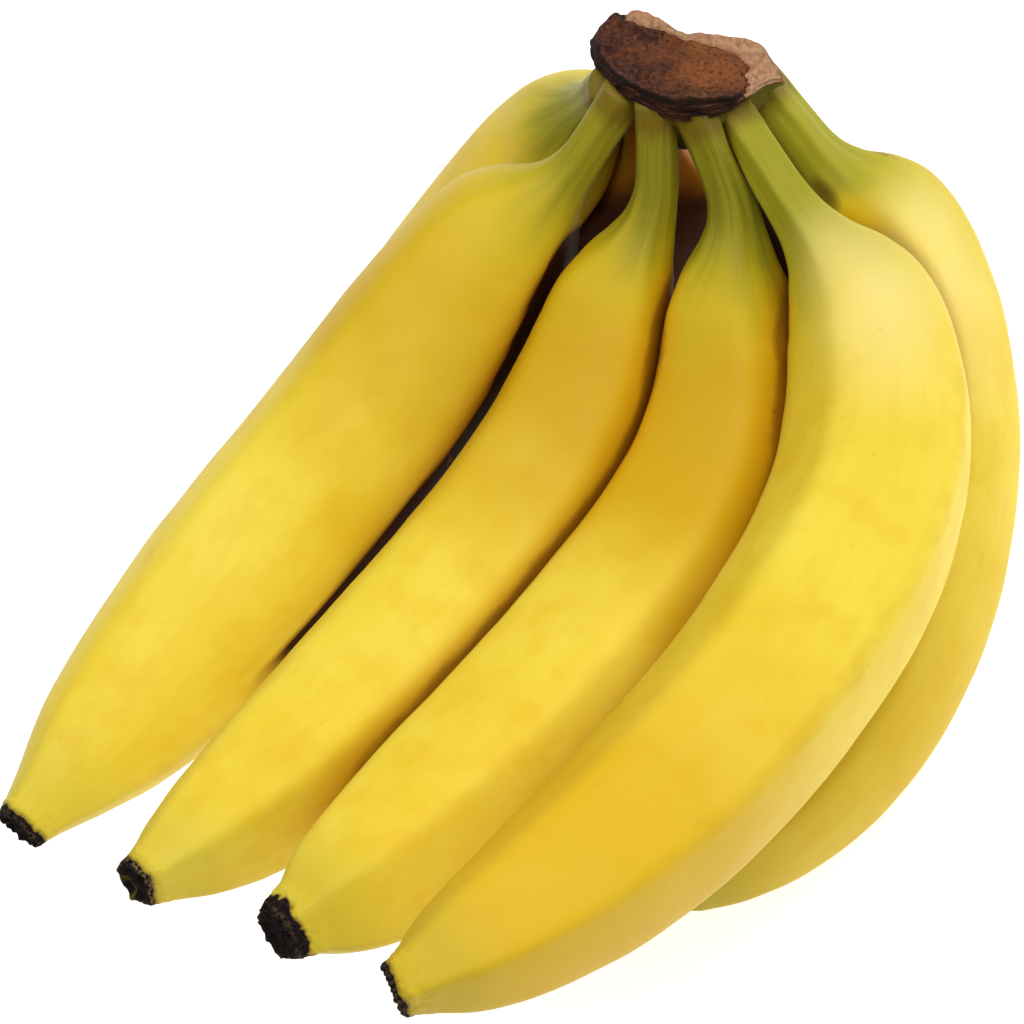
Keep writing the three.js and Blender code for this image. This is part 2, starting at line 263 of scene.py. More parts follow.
class Nodes:
    """A short hand for building a node tree."""

    def __init__(self, name):
        self.mat = bpy.data.materials.new(name)
        self.mat.use_nodes = True
        self.t = self.mat.node_tree
        self.t.nodes.clear()
        self.out = self.t.nodes.new("ShaderNodeOutputMaterial")
        self.bsdf = self.t.nodes.new("ShaderNodeBsdfPrincipled")
        self.t.links.new(self.bsdf.outputs[0], self.out.inputs[0])

    def put(self, sock, v):
        if isinstance(v, bpy.types.NodeSocket):
            self.t.links.new(v, sock)
        elif v is not None:
            sock.default_value = v

    def attr(self, name, vector=False):
        n = self.t.nodes.new("ShaderNodeAttribute")
        n.attribute_name = name
        return n.outputs["Vector" if vector else "Fac"]

    def position(self):
        return self.t.nodes.new("ShaderNodeTexCoord").outputs["Object"]

    def math(self, op, a, b=None, c=None, clamp=False):
        n = self.t.nodes.new("ShaderNodeMath")
        n.operation = op
        n.use_clamp = clamp
        for k, v in enumerate((a, b, c)):
            if v is not None:
                self.put(n.inputs[k], v)
        return n.outputs[0]

    def ramp(self, v, a, b, lo=0.0, hi=1.0):
        """Smooth step from lo at a to hi at b."""
        n = self.t.nodes.new("ShaderNodeMapRange")
        n.interpolation_type = "SMOOTHSTEP"
        for k, x in zip(("Value", "From Min", "From Max", "To Min", "To Max"), (v, a, b, lo, hi)):
            self.put(n.inputs[k], x)
        return n.outputs[0]

    def scaled(self, vec, xyz):
        n = self.t.nodes.new("ShaderNodeVectorMath")
        n.operation = "MULTIPLY"
        self.put(n.inputs[0], vec)
        n.inputs[1].default_value = xyz
        return n.outputs[0]

    def moved(self, vec, xyz):
        n = self.t.nodes.new("ShaderNodeVectorMath")
        n.operation = "ADD"
        self.put(n.inputs[0], vec)
        n.inputs[1].default_value = xyz
        return n.outputs[0]

    def noise(self, vec, scale, detail=3.0, rough=0.55, distortion=0.0):
        n = self.t.nodes.new("ShaderNodeTexNoise")
        self.put(n.inputs["Vector"], vec)
        n.inputs["Scale"].default_value = scale
        n.inputs["Detail"].default_value = detail
        n.inputs["Roughness"].default_value = rough
        n.inputs["Distortion"].default_value = distortion
        return n.outputs[0]

    def cells(self, vec, scale, feature="F1", rand=1.0):
        n = self.t.nodes.new("ShaderNodeTexVoronoi")
        n.feature = feature
        self.put(n.inputs["Vector"], vec)
        n.inputs["Scale"].default_value = scale
        n.inputs["Randomness"].default_value = rand
        return n

    def mix(self, f, a, b, mode="MIX"):
        n = self.t.nodes.new("ShaderNodeMix")
        n.data_type = "RGBA"
        n.blend_type = mode
        n.clamp_factor = True
        self.put(n.inputs[0], f)
        self.put(n.inputs[6], a)
        self.put(n.inputs[7], b)
        return n.outputs[2]

    def plus(self, a, b):
        return self.math("ADD", a, b)

    def times(self, a, b):
        return self.math("MULTIPLY", a, b)

    def about(self, v, width):
        """A noise brought to the middle and scaled, to let a boundary wander."""
        return self.times(self.math("SUBTRACT", v, 0.5), width)

    def bump(self, height, strength, distance, normal=None):
        n = self.t.nodes.new("ShaderNodeBump")
        n.inputs["Strength"].default_value = strength
        n.inputs["Distance"].default_value = distance
        self.put(n.inputs["Height"], height)
        if normal is not None:
            self.put(n.inputs["Normal"], normal)
        return n.outputs[0]


# per finger. reach, mustard: how far the deeper yellow runs from the crown (mm), and how strong it is;
# low: a deeper yellow towards the tip; tone: lightness; the rub strength: brown where fingers meet, partly
# rubbed skin and partly painted shade in the cleft; green, depth: how far the green runs from the crown (mm), and
# how strong it is; neck: the neck's own colour; tip_green: green before the tip; seed: shifts every noise; black,
# ragged: how far the black runs up from the blossom end (mm) and how ragged its edge is; rim: how pale the dry
# rim is; behind: a hidden finger, which gets painted shade where it shows deep between the necks
LOOKS = {
    "finger_front_1": dict(reach=104, low=0.1, tone=1.0, rub_and_shade=0.6, mustard=0.65, green=46, depth=0.85,
                           neck="7D7A22", tip_green=0.35, seed=1.0, black=0.9, ragged=0.7, rim=0.25),
    "finger_front_2": dict(reach=116, low=0.15, tone=0.97, rub_and_shade=1.0, mustard=0.9, green=48, depth=0.95,
                           neck="6F6B1E", tip_green=0.35, seed=2.3, black=0.25, ragged=0.35, rim=0.85),
    "finger_front_3": dict(reach=130, low=0.25, tone=0.97, rub_and_shade=1.0, mustard=0.9, green=52, depth=1.00,
                           neck="6C6A1C", tip_green=0.50, seed=3.1, black=1.5, ragged=1.6, rim=0.25),
    "finger_front_4": dict(reach=95, low=0.75, tone=0.93, rub_and_shade=0.8, mustard=0.15, green=62, depth=0.95,
                           neck="8C8A20", tip_green=0.40, seed=4.7, black=0.5, ragged=0.6, rim=0.25),
    "finger_back_1": dict(reach=95, low=0.2, tone=1.0, rub_and_shade=0.6, mustard=0.3, green=40, depth=1.0, neck="7A7A20",
                          tip_green=0.30, seed=5.9, black=1.0, ragged=0.9, rim=0.25),
    "finger_back_2": dict(reach=95, low=0.2, tone=1.0, rub_and_shade=0.5, behind=True, mustard=0.9, green=36, depth=0.7,
                          neck="7A7424", tip_green=0.30, seed=6.4, black=1.0, ragged=0.9, rim=0.25),
    "finger_back_3": dict(reach=95, low=0.2, tone=1.0, rub_and_shade=0.5, behind=True, mustard=0.9, green=36, depth=0.7,
                          neck="7A7424", tip_green=0.30, seed=7.2, black=1.0, ragged=0.9, rim=0.25),
    "finger_back_4": dict(reach=95, low=0.4, tone=0.93, rub_and_shade=0.25, mustard=0.1, green=56, depth=0.9,
                          neck="8E8C24", tip_green=0.60, seed=8.8, black=0.1, ragged=0.2, rim=0.25),
}


MARKS = {  # single marks: (place in the hanging frame, mm), radius mm, depth of colour
    # the first seven dark spots in the first list below are painted shade for the hollow between two necks, the
    # rest are bruises; the pale spots in the last list are painted highlights
    "finger_back_4": dict(
        bruise_and_hollow_shade=[((23.9, -17.0, -2.2), 1.5, 0.25), ((24.7, -18.0, -2.1), 1.8, 0.35),
                ((25.5, -19.1, -1.9), 2.1, 0.45), ((26.3, -20.1, -1.6), 2.3, 0.5),
                ((27.1, -21.1, -1.3), 2.2, 0.45), ((27.9, -22.1, -0.9), 1.9, 0.35),
                ((28.7, -23.1, -0.5), 1.6, 0.25), ((36.0, -11.4, -7.5), 1.0, 0.7),
                ((37.2, -11.7, -6.9), 1.0, 0.4), ((38.3, -12.0, -6.4), 0.9, 0.6),
                ((39.6, -12.4, -6.2), 0.9, 0.3), ((40.8, -12.9, -6.1), 0.8, 0.5)],
        sun=[((33.4, -25.8, 1.5), 6.0, 0.8), ((30.0, -24.5, 0.5), 4.5, 0.7)],
        painted_highlight=[((45.6, -26.0, 1.8), 11.0, 0.7), ((51.6, -39.3, 1.6), 13.0, 0.75),
             ((54.0, -52.0, 2.0), 13.0, 0.5)]),
    "finger_front_4": dict(
        bruise_and_hollow_shade=[], sun=[],
        painted_highlight=[((28.3, -30.4, 13.3), 9.0, 0.5), ((34.7, -40.2, 19.8), 13.0, 0.9),
             ((36.5, -52.0, 25.0), 12.0, 0.5)]),
    "finger_front_3": dict(bruise_and_hollow_shade=[((15.7, -62.7, 9.6), 0.9, 0.5), ((15.5, -64.4, 9.6), 0.6, 0.4)], sun=[],
                           painted_highlight=[]),
}


def spots(verts, places):
    """Soft round spots on the skin, which merge where they meet."""
    v = np.zeros(len(verts))
    for at, wide, deep in places:
        d = np.linalg.norm(verts - np.array(at), axis=1)
        v = 1 - (1 - v) * (1 - deep * (1 - smooth(0.1, 1.5, d / wide)))
    return v


def skin_material(name):
    k = LOOKS[name]
    m = Nodes(name + "_skin")
    neck, tip, edge = m.attr("neck_mm"), m.attr("tip_mm"), m.attr("ridge")
    grain = m.moved(m.attr("grain", True), (k["seed"] * 3.1, k["seed"] * 1.7, k["seed"] * 5.3))
    obj = m.moved(m.position(), (k["seed"], -k["seed"], k["seed"] * 0.5))

    # yellow: broad patches, faint mottling of a millimetre or two, faint fibres along the finger
    patch = m.noise(obj, 34, 2.0, 0.5)
    cloud = m.noise(obj, 120, 2.0, 0.55)
    mottle = m.noise(obj, 520, 2.0, 0.6)
    fibre = m.noise(m.scaled(grain, (7.0, 7.0, 0.07)), 1.0, 2.0, 0.55)
    pale, mid, deep = lin("EDD64E"), lin("E7CB34"), lin("DDB318")
    col = m.mix(m.ramp(patch, 0.30, 0.74, 0.15, 0.85), mid, pale)
    col = m.mix(m.ramp(patch, 0.42, 0.26, 0.0, 0.3), col, deep)
    col = m.mix(m.ramp(cloud, 0.45, 0.72, 0.0, 0.35), col, deep)
    col = m.mix(m.ramp(fibre, 0.46, 0.68, 0.0, 0.16), col, deep)
    col = m.mix(m.ramp(mottle, 0.52, 0.72, 0.0, 0.14), col, pale)
    # the soft ridges are a little paler, with a thin duller line on their crest
    col = m.mix(m.ramp(edge, 0.45, 1.0, 0.0, 0.16), col, pale)
    col = m.mix(m.times(m.ramp(edge, 0.95, 1.0, 0.0, 0.16), m.ramp(cloud, 0.4, 0.6)), col, lin("B98A1A"))

    # a deeper yellow over the shoulders, and towards the tip
    broad = m.plus(neck, m.about(patch, 34.0))
    col = m.mix(m.times(m.ramp(broad, k["reach"] + 10.0, k["reach"] - 45.0), k["mustard"]), col, lin("C89C02"))
    col = m.mix(m.ramp(m.plus(tip, m.about(patch, 26.0)), 115.0, 55.0, 0.0, k["low"]), col, lin("D6A806"))

    # green from the neck, and a hint of it just before the tip
    warp = m.about(m.noise(m.scaled(grain, (1.1, 1.1, 0.03)), 1.0, 1.0, 0.5), 22.0)
    warp = m.plus(warp, m.about(fibre, 4.0))
    reach = m.plus(neck, warp)
    col = m.mix(m.ramp(reach, k["green"] * 0.55, k["green"] * 1.15, 0.62 * k["depth"], 0.0), col, lin("BDAE14"))
    neckcol = m.mix(m.ramp(fibre, 0.25, 0.80, 0.1, 0.5), lin(k["neck"]), lin("A39E1C"))
    col = m.mix(m.ramp(reach, k["green"] * 0.35, k["green"] * 0.80, 0.95 * k["depth"], 0.0), col, neckcol)
    col = m.mix(m.ramp(m.plus(tip, m.times(warp, 0.3)), 2.0, 24.0, k["tip_green"], 0.0), col, lin("B0A62E"))

    # neck: dull fibres, and brown where it leaves the crown
    dull = m.noise(m.scaled(grain, (5.0, 5.0, 0.10)), 1.0, 2.0, 0.65)
    col = m.mix(m.times(m.ramp(neck, 34.0, 10.0), m.ramp(dull, 0.45, 0.80, 0.0, 0.14)), col, lin("6A6210"))
    rim = m.plus(neck, m.about(dull, 6.0))
    col = m.mix(m.ramp(rim, 8.5, 4.0, 0.0, 0.6), col, lin("6A4A14"))

    # warm brown where fingers come together, partly rubbed skin and partly painted contact shade, darkest in the
    # cleft itself
    cleft = m.plus(m.attr("cleft"), m.about(cloud, 2.5))
    cleft = m.plus(cleft, m.ramp(neck, 45.0, 25.0, 0.0, 5.0))
    col = m.mix(m.ramp(cleft, 7.0, 1.5, 0.0, 0.45 * k["rub_and_shade"]), col, lin("D09008"))
    col = m.mix(m.ramp(cleft, 2.4, 0.5, 0.0, 0.65 * k["rub_and_shade"]), col, lin("8A4E0C"))
    if name == "finger_front_1":      # painted shade: its side is painted dark where it almost touches the second finger, for the shadow in the gap
        gap_shade = m.attr("gap_shade")
        col = m.mix(m.ramp(gap_shade, 0.0, 0.55, 0.0, 0.6), col, lin("9A5E0C"))
        col = m.mix(m.ramp(gap_shade, 0.45, 0.9), col, lin("34180C"))

    # painted shade on the hidden fingers: brown, and near-black further down, where they show deep between the
    # necks, only on skin facing the front
    if k.get("behind"):
        pocket_shade = m.plus(m.attr("pocket_shade"), m.about(cloud, 0.5))
        col = m.mix(m.times(m.ramp(pocket_shade, 0.2, 0.8, 0.0, 0.95), m.attr("front")), col, lin("A8621A"))
        col = m.mix(m.times(m.ramp(pocket_shade, 0.9, 1.5, 0.0, 0.95), m.attr("front")), col, lin("2E1612"))

    # pale spots painted as highlights, a deeper patch beside the neck, painted shade for the dark hollow between
    # two necks, and single bruises
    if name in MARKS:
        col = m.mix(m.times(m.attr("painted_highlight"), m.ramp(patch, 0.2, 0.6, 0.45, 0.75)), col, lin("F4E08C"))
        col = m.mix(m.times(m.attr("sun"), 0.75), col, lin("E6BC08"))
        col = m.mix(m.ramp(m.attr("bruise_and_hollow_shade"), 0.05, 0.9, 0.0, 0.8), col, lin("54380C"))

    # small dry marks
    speck = m.ramp(m.cells(obj, 46).outputs["Distance"], 0.045, 0.02)
    some = m.ramp(m.noise(obj, 33, 1.0), 0.64, 0.67)
    col = m.mix(m.times(m.times(speck, some), 0.5), col, lin("8A5A20"))
    scuffs = m.noise(m.scaled(grain, (3.0, 3.0, 0.12)), 1.0, 3.0, 0.7)
    col = m.mix(m.ramp(scuffs, 0.67, 0.75, 0.0, 0.22), col, lin("C0902A"))

    # the dried blossom end: the black runs up unevenly, with a brown edge
    ragged = m.about(m.noise(m.scaled(grain, (1.7, 1.7, 0.2)), 1.0, 2.0, 0.6), k["ragged"] * 4.0)
    up = m.plus(tip, ragged)
    col = m.mix(m.ramp(up, k["black"] + 1.0, k["black"] + 0.1, 0.0, 0.65), col, lin("6A4A1C"))
    black = m.ramp(up, k["black"] + 0.25, k["black"] - 0.15)
    dry = m.noise(obj, 1300, 3.0, 0.7)
    char = m.mix(m.ramp(dry, 0.40, 0.72), lin("0C0808"), lin("2E1D17"))
    dusty = m.times(m.ramp(m.attr("lip"), 0.5, 1.0), m.ramp(dry, 0.45, 0.6, 0.0, k["rim"]))
    char = m.mix(dusty, char, lin("8A7048"))
    col = m.mix(black, col, char)

    col = m.mix(1.0, col, (k["tone"],) * 3 + (1.0,), "MULTIPLY")
    b = m.bsdf.inputs
    m.put(b["Base Color"], col)
    m.put(b["Roughness"], m.plus(m.plus(0.42, m.times(mottle, 0.12)), m.times(black, 0.35)))
    b["Specular IOR Level"].default_value = 0.15
    height = m.plus(m.times(fibre, 0.4), m.times(mottle, 0.25))
    grown = m.bump(height, 0.16, 0.0006)
    tipped = m.bump(m.times(dry, m.ramp(tip, 3.0, 1.0)), 0.9, 0.0010, grown)
    m.put(b["Normal"], tipped)
    return m.mat


def crown_material():
    m = Nodes("crown_tissue")
    cut, lip, tan = m.attr("cut"), m.attr("lip"), m.attr("tan")
    plane = m.attr("plane", True)
    # the cut face: bundles of fibre seen end on, red-brown, with dark pits and pale threads
    big = m.noise(plane, 0.14, 3.0, 0.6)
    bundle = m.cells(plane, 0.75)
    fine = m.noise(plane, 1.0, 5.0, 0.7)
    thread = m.noise(m.scaled(plane, (1.5, 0.5, 1.0)), 1.0, 5.0, 0.75, 1.2)
    face = m.mix(m.ramp(big, 0.38, 0.62), lin("341A12"), lin("6A3820"))
    face = m.mix(m.times(m.attr("warm"), m.ramp(big, 0.3, 0.6, 0.5, 1.0)), face, lin("8E5228"))
    face = m.mix(m.times(m.attr("old"), m.ramp(thread, 0.62, 0.48, 0.3, 1.0)), face, lin("28140E"))
    face = m.mix(m.ramp(bundle.outputs["Distance"], 0.2, 0.7, 0.4, 0.0), face, lin("7E4526"))
    face = m.mix(m.ramp(fine, 0.50, 0.64, 0.0, 0.8), face, lin("24120D"))
    face = m.mix(m.ramp(thread, 0.57, 0.72, 0.0, 0.55), face, lin("A87A5C"))
    # the trimmed facets along the far edge and at the right end are lighter
    grainy = m.noise(m.scaled(plane, (0.9, 0.5, 0.6)), 1.0, 4.0, 0.65)
    pale = m.mix(m.ramp(grainy, 0.36, 0.70), lin("C09672"), lin("96694A"))
    pale = m.mix(m.ramp(big, 0.50, 0.62, 0.0, 0.5), pale, lin("B0705A"))
    split = m.plus(tan, m.about(fine, 0.5))
    face = m.mix(m.ramp(split, 0.46, 0.58), face, pale)
    crack = m.times(m.ramp(split, 0.12, 0.40), m.ramp(split, 0.72, 0.50))
    face = m.mix(m.times(crack, m.ramp(big, 0.35, 0.55, 0.5, 0.95)), face, lin("1E100C"))
    # side: dark layered dried tissue
    layers = m.noise(m.scaled(m.attr("wrap", True), (0.30, 0.30, 2.6)), 1.0, 4.0, 0.7)
    side = m.mix(m.ramp(layers, 0.40, 0.60), lin("1A0E0A"), lin("4A2A1C"))
    side = m.mix(m.ramp(layers, 0.58, 0.68, 0.0, 0.8), side, lin("8A5C42"))
    # below the dried rim the cushion is still greenish
    side = m.mix(m.times(m.attr("live"), m.ramp(layers, 0.3, 0.7, 0.95, 0.6)), side, lin("7C741E"))
    col = m.mix(m.ramp(cut, 0.35, 0.6), side, face)
    col = m.mix(m.ramp(lip, 0.55, 0.95, 0.0, 0.85), col, lin("1A0F0B"))
    b = m.bsdf.inputs
    m.put(b["Base Color"], col)
    m.put(b["Roughness"], m.ramp(fine, 0.3, 0.7, 0.66, 0.9))
    b["Specular IOR Level"].default_value = 0.15
    h = m.plus(m.plus(m.times(fine, -0.7), m.times(thread, 0.5)), m.times(layers, 0.4))
    m.put(b["Normal"], m.bump(h, 0.8, 0.0012))
    return m.mat


# ------------------------------------------------------------------------------------------------
# fingers
# ------------------------------------------------------------------------------------------------
TIPS = {  # blossom end: width factor, ragged relief (mm), lean of the dry face away from the front
    "finger_front_1": (1.0, 0.35, 0.30), "finger_front_2": (1.02, 0.2, 0.0),
    "finger_front_3": (1.10, 0.45, 0.1), "finger_front_4": (1.0, 0.3, 0.45),
    "finger_back_1": (0.95, 0.3, 0.0), "finger_back_2": (0.95, 0.3, 0.0),
    "finger_back_3": (0.95, 0.3, 0.0), "finger_back_4": (0.9, 0.2, 0.0),
}


def free_of(v, q, r):
    """How far each of the points v is from the nearest of the balls at q with radii r."""
    square = (v * v).sum(1)[:, None] + (q * q).sum(1)[None] - 2 * v @ q.T
    return (np.sqrt(np.maximum(square, 0)) - r[None]).min(1)


def cleft_mm(i, verts):
    """How far each point is from the nearest other finger's skin."""
    near = np.full(len(verts), 30.0)
    ss = np.linspace(0.02, 1, 90)
    for j, g in enumerate(FINGERS):
        if j != i:
            near = np.minimum(near, free_of(verts, axis(g, ss)[0], girth_at(g, ss)))
    return near


def beside(verts, g, s):
    """Mask of a painted shade strip: 1 on a thin strip along finger g's side, measured across the flat of the
    hand, and 0 beyond a millimetre or two from it. s is each point's place along its own finger."""
    ss = np.linspace(0.02, 1, 120)
    d = free_of(verts[:, :2], axis(g, ss)[0][:, :2], girth_at(g, ss))
    wide = 0.5 + 0.7 * smooth(0.34, 0.5, s) * smooth(0.68, 0.56, s) + 1.6 * smooth(0.2, 0.12, s)
    return (1 - smooth(0.4, 1.7, d / wide)) * smooth(0.08, 0.12, s) * smooth(0.78, 0.66, s)


def own_radius(f):
    """Radius of the blossom end, mm."""
    return girth_at(f, np.array([1.0]))[0]


def along_finger(spans):
    """Places of the rings along a finger, from (start, how many) of each span."""
    starts = [a for a, _ in spans]
    ends = starts[1:] + [1.0]
    return np.concatenate([np.linspace(a, b, k, endpoint=b == 1) for (a, k), b in zip(spans, ends)])


STUB = PROFILE[-1][1]      # radius of the blossom end of a 38 mm finger
# the sunken, crumpled face of the blossom end: share of the stub's radius, mm outwards
TIP_FACE = [(0.96, 0.35), (0.88, 0.5), (0.78, 0.35), (0.66, -0.1), (0.54, -0.45), (0.42, -0.5), (0.3, -0.2),
            (0.18, 0.25), (0.08, 0.5)]


def make_finger(i):
    f = FINGERS[i]
    name = f["name"]
    sides = 80
    s = along_finger([(0, 16), (0.1, 48), (0.3, 70), (0.86, 26), (0.965, 22)])
    p, t, ray, limit, free, phi = finger_skin(i, s, sides)
    wide, relief, lean = TIPS[name]
    seed = LOOKS[name]["seed"]
    v = p[:, None, :] + limit[..., None] * ray
    # slight unevenness of a grown skin, none where fingers press or at the ground
    press = np.clip((free - limit) / 1.2, 0, 1)
    uneven = wobble(v, 0.035, seed, 2) * 0.35 + wobble(v, 0.12, seed + 5, 2) * 0.10
    v = v + (uneven * (1 - press) * smooth(0.02, 0.2, s)[:, None])[..., None] * ray
    # the sharp turn behind the first shoulder is rounded off
    if name == "finger_back_1":
        part = (smooth(0.06, 0.12, s) * smooth(0.42, 0.34, s))[1:-1, None, None]
        for _ in range(60):
            v[1:-1] += part * (0.25 * (v[:-2] + v[2:]) - 0.5 * v[1:-1])
    # the hidden finger fills the slit beside it
    if name == "finger_back_2":
        left = np.clip(-ray[..., 0] * 0.9 + ray[..., 2] * 0.3, 0, 1)
        v = v + (left * (smooth(0.03, 0.1, s) * smooth(0.4, 0.3, s))[:, None] * 1.8)[..., None] * ray
    # neck: lengthwise grooves
    groove = np.cos(phi * 5 + rad(f["twist"]) + seed) * 0.14 + np.cos(phi * 11 + seed * 2) * 0.05
    neckish = smooth(0.17, 0.1, s) * smooth(0, 0.02, s)
    v = v + (neckish[:, None] * groove)[..., None] * ray
    # blossom end: swells to a ragged dry stub
    end = smooth(0.972, 0.985, s)[:, None]
    crumple = wobble(v, 0.9, seed + 9, 4)
    v = v + (end * (STUB * (wide - 1) + crumple * relief))[..., None] * ray
    front = (v - p[:, None, :])[..., 2] / own_radius(f)
    v = v + (smooth(0.968, 1.0, s)[:, None] * front * lean * 5.0)[..., None] * t[:, None, :]
    rings = [v[k] for k in range(len(s))]
    # a rim, then a sunken, crumpled end
    mid, way = p[-1], t[-1]
    last = rings[-1] - mid
    caps = []
    for share, out in TIP_FACE:
        ring = mid + last * share + way * out
        rough = wobble(ring, 0.7, seed + 21, 2) * (0.5 + relief)
        caps.append(ring + rough[:, None] * way)
    rings += caps
    n = sides
    verts = np.vstack(rings)
    along = np.concatenate([s * f["length"], np.full(len(caps), float(f["length"]))])
    reach = np.concatenate([(1 - s) * f["length"], np.zeros(len(caps))])
    centre = mid + way * 0.6
    verts = np.vstack([verts, p[0], centre])
    rows = len(rings)
    quads, tris = tube(rows, n)
    ob = mesh_object(name + "_fruit", lay(verts), quads, tris)
    attribute(ob, "neck_mm", np.concatenate([np.repeat(along, n), [0, f["length"]]]))
    attribute(ob, "tip_mm", np.concatenate([np.repeat(reach, n), [f["length"], 0]]))
    ridge = np.clip((faceted(phi, f) - 0.99) / (1.18 - 0.99), 0, 1) * min(1.0, f["edges"] + 0.1)
    body = np.concatenate([smooth(0.12, 0.3, s) * smooth(0.99, 0.8, s), np.zeros(len(caps))])
    ridge = np.tile(ridge, rows) * np.repeat(body, n)
    attribute(ob, "ridge", np.concatenate([ridge, [0, 0]]))
    attribute(ob, "cleft", cleft_mm(i, verts))
    if name in MARKS:
        for kind, places in MARKS[name].items():
            attribute(ob, kind, spots(verts, places))
    # painted shade: a dark strip along the second finger's outline, for the shadow in the gap between the two
    if name == "finger_front_1":
        place = np.concatenate([np.repeat(along / f["length"], n), [0, 1]])
        attribute(ob, "gap_shade", beside(verts, FINGERS[1], place))
    if LOOKS[name].get("behind"):
        # painted shade mask: how deep between the necks, 0 to 2 downwards, and how much it faces the front
        attribute(ob, "pocket_shade", smooth(-46, -34, verts[:, 1]) * (1 + smooth(-11, -30, verts[:, 1])))
        facing = smooth(-0.15, 0.35, ray[..., 2]).ravel()
        attribute(ob, "front", np.concatenate([facing, np.zeros(len(caps) * n + 2)]))
    rim = np.concatenate([smooth(0.996, 1.0, s), [1.0, 0.7], np.zeros(len(caps) - 2)])
    attribute(ob, "lip", np.concatenate([np.repeat(rim, n), [0, 0]]))
    grain = np.stack([np.tile(np.cos(phi), rows), np.tile(np.sin(phi), rows), np.repeat(along, n)], 1)
    attribute(ob, "grain", np.vstack([grain, [[0, 0, 0], [0, 0, f["length"]]]]), "FLOAT_VECTOR")
    ob.data.materials.append(skin_material(name))
    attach(ob, "root")
    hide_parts(name)
    return ob


for i in range(len(FINGERS)):
    make_finger(i)

# ------------------------------------------------------------------------------------------------
# crown
# ------------------------------------------------------------------------------------------------
CUT_LEAN = 38
# outline of the cut face, mm in its own plane, and the outline's share at each height above the crown's middle
CUT = [(17.5, -4.8), (16.6, -1.8), (15.7, 1.4), (14.3, 5.2), (12.3, 8.2), (9.3, 9.3), (6, 9.9), (2.7, 10.1),
       (-0.4, 10.8), (-3.1, 12.8), (-5.5, 15.5), (-7.6, 17.6), (-10, 18.3), (-12.6, 18.5), (-14.4, 18.1),
       (-16.3, 15.5), (-17.9, 12.4), (-19, 9.3), (-18.7, 6.2), (-17.3, 1.8), (-15.4, -2.6), (-12.8, -6.7),
       (-9.5, -9.9), (-6.2, -12.5), (-2.8, -13.9), (0.8, -13.8), (4.2, -13.3), (7.4, -12.5), (10.3, -10.4),
       (12.8, -7.9), (15.3, -6.0)]
LEVELS = [(6.6, 0.96), (6.1, 1.0), (4.6, 1.01), (2.8, 1.0), (0.6, 0.9), (-2.2, 0.78), (-4.8, 0.62)]
TOP = 6.1            # height of the cut face


def crown_point(u, v, c):
    """The crown is thinner towards its right end."""
    a = rad(CUT_LEAN)
    c = np.where(c > 0, TOP - (TOP - c) * (1 - 0.45 * smooth(2, 12, u)), c)
    return np.stack([u, c * math.cos(a) + v * math.sin(a), c * math.sin(a) - v * math.cos(a)], -1)


def closed_spline(pts, count):
    """Centripetal Catmull-Rom round the points, evenly spaced."""
    q = np.array(pts, float)
    n = len(q)
    out = []
    for i in range(n):
        p0, p1, p2, p3 = q[i - 1], q[i], q[(i + 1) % n], q[(i + 2) % n]
        k = [0.0]
        for x, y in ((p0, p1), (p1, p2), (p2, p3)):
            k.append(k[-1] + math.sqrt(np.linalg.norm(y - x)))
        for t in np.linspace(k[1], k[2], 24, endpoint=False):
            a1 = (k[1] - t) / (k[1] - k[0]) * p0 + (t - k[0]) / (k[1] - k[0]) * p1
            a2 = (k[2] - t) / (k[2] - k[1]) * p1 + (t - k[1]) / (k[2] - k[1]) * p2
            a3 = (k[3] - t) / (k[3] - k[2]) * p2 + (t - k[2]) / (k[3] - k[2]) * p3
            b1 = (k[2] - t) / (k[2] - k[0]) * a1 + (t - k[0]) / (k[2] - k[0]) * a2
            b2 = (k[3] - t) / (k[3] - k[1]) * a2 + (t - k[1]) / (k[3] - k[1]) * a3
            out.append((k[2] - t) / (k[2] - k[1]) * b1 + (t - k[1]) / (k[2] - k[1]) * b2)
    out = np.array(out + [out[0]])
    d = np.concatenate([[0], np.cumsum(np.linalg.norm(np.diff(out, axis=0), axis=1))])
    want = np.linspace(0, d[-1], count, endpoint=False)
    return np.stack([np.interp(want, d, out[:, 0]), np.interp(want, d, out[:, 1])], 1)


def far_line(u):
    """Where the far facet meets the cut face, and a crack follows."""
    return np.interp(u, [-14.5, -13.9, -11.4, -9.7, -6.2, -3.2, -0.7, 4.4, 8.2, 10.4],
                     [17.5, 16.5, 15.7, 13.4, 12.7, 10.6, 8.7, 6.4, 4.1, 1.0])


def pale_part(u, v):
    """1 on the trimmed facets, along the far edge and at the right end."""
    far = smooth(-0.5, 0.5, v - far_line(u)) * smooth(-14, -11, u)
    return np.maximum(far, smooth(10.3, 11.3, u - 0.04 * v + 0.5 * np.sin(v * 1.1) + 0.3 * np.sin(v * 2.9 + 1)))


